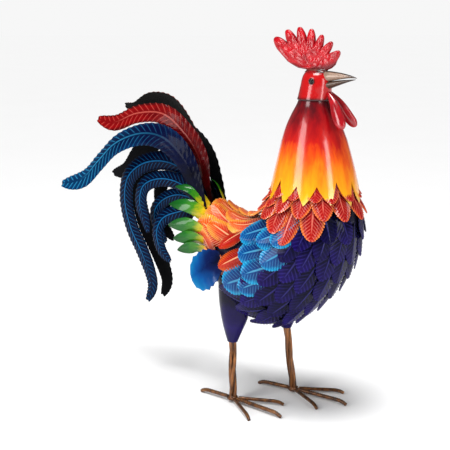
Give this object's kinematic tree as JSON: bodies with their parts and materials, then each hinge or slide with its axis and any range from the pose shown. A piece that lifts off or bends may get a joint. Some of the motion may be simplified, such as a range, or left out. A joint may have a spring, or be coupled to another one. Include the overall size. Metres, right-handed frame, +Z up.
{
  "type": "metal rooster statue",
  "caption": "Standing garden rooster built of overlapping enamelled sheet-metal feathers, with a fanned sickle tail, a comb, wattles and splayed bar feet.",
  "frame": {"origin": "middle of the bounding box's base, on the surface that the feet stand on", "axes": "+X the way the bird looks, +Y its left side, +Z up"},
  "size_m": [0.576, 0.2006, 0.6123],
  "materials": {
    "body_navy": "glossy navy enamel",
    "breast_navy": "glossy navy and violet enamel",
    "wing_blue": "glossy blue enamel, light blue at the feather tips",
    "saddle_orange": "glossy orange enamel with red middles",
    "collar_red": "glossy red enamel with orange edges",
    "neck_orange": "glossy enamel graded from dark red at the top to yellow below",
    "head_red": "glossy deep red enamel",
    "comb_red": "glossy crimson enamel over a dimpled surface",
    "beak_grey": "satin grey-brown enamel",
    "eye_black": "gloss black enamel",
    "tail_blue": "glossy blue enamel, black behind",
    "tail_red": "glossy dark red enamel, black behind",
    "rump_green": "glossy green enamel, yellow at the root",
    "leg_copper": "satin copper-brown metallic paint"
  },
  "bodies": {
    "root": {"body": "body_navy", "collar": "collar_red", "breast": "breast_navy", "left_wing": "wing_blue", "right_wing": "wing_blue", "back": "saddle_orange", "saddle": "saddle_orange", "neck": "neck_orange", "head": "head_red", "comb": "comb_red", "upper_beak": "beak_grey", "lower_beak": "beak_grey", "left_eye": "eye_black", "left_wattle": "comb_red", "left_thigh": "breast_navy", "left_leg": "leg_copper", "left_wing_tip": "wing_blue", "left_middle_toe": "leg_copper", "left_inner_toe": "leg_copper", "left_outer_toe": "leg_copper", "left_hind_toe": "leg_copper", "left_tail_red": "tail_red", "left_tail_blue": "tail_blue", "left_tail_outer": "tail_blue", "left_tail_second": "tail_blue", "left_tail_third": "tail_blue", "left_tail_inner": "tail_blue", "left_rump_1": "rump_green", "left_rump_2": "rump_green", "left_rump_3": "rump_green", "left_rump_4": "rump_green", "left_rump_5": "rump_green", "right_eye": "eye_black", "right_wattle": "comb_red", "right_thigh": "breast_navy", "right_leg": "leg_copper", "right_wing_tip": "wing_blue", "right_middle_toe": "leg_copper", "right_inner_toe": "leg_copper", "right_outer_toe": "leg_copper", "right_hind_toe": "leg_copper", "right_tail_red": "tail_red", "right_tail_blue": "tail_blue", "right_tail_outer": "tail_blue", "right_tail_second": "tail_blue", "right_tail_third": "tail_blue", "right_tail_inner": "tail_blue", "right_rump_1": "rump_green", "right_rump_2": "rump_green", "right_rump_3": "rump_green", "right_rump_4": "rump_green", "right_rump_5": "rump_green"}
  },
  "joints": []
}
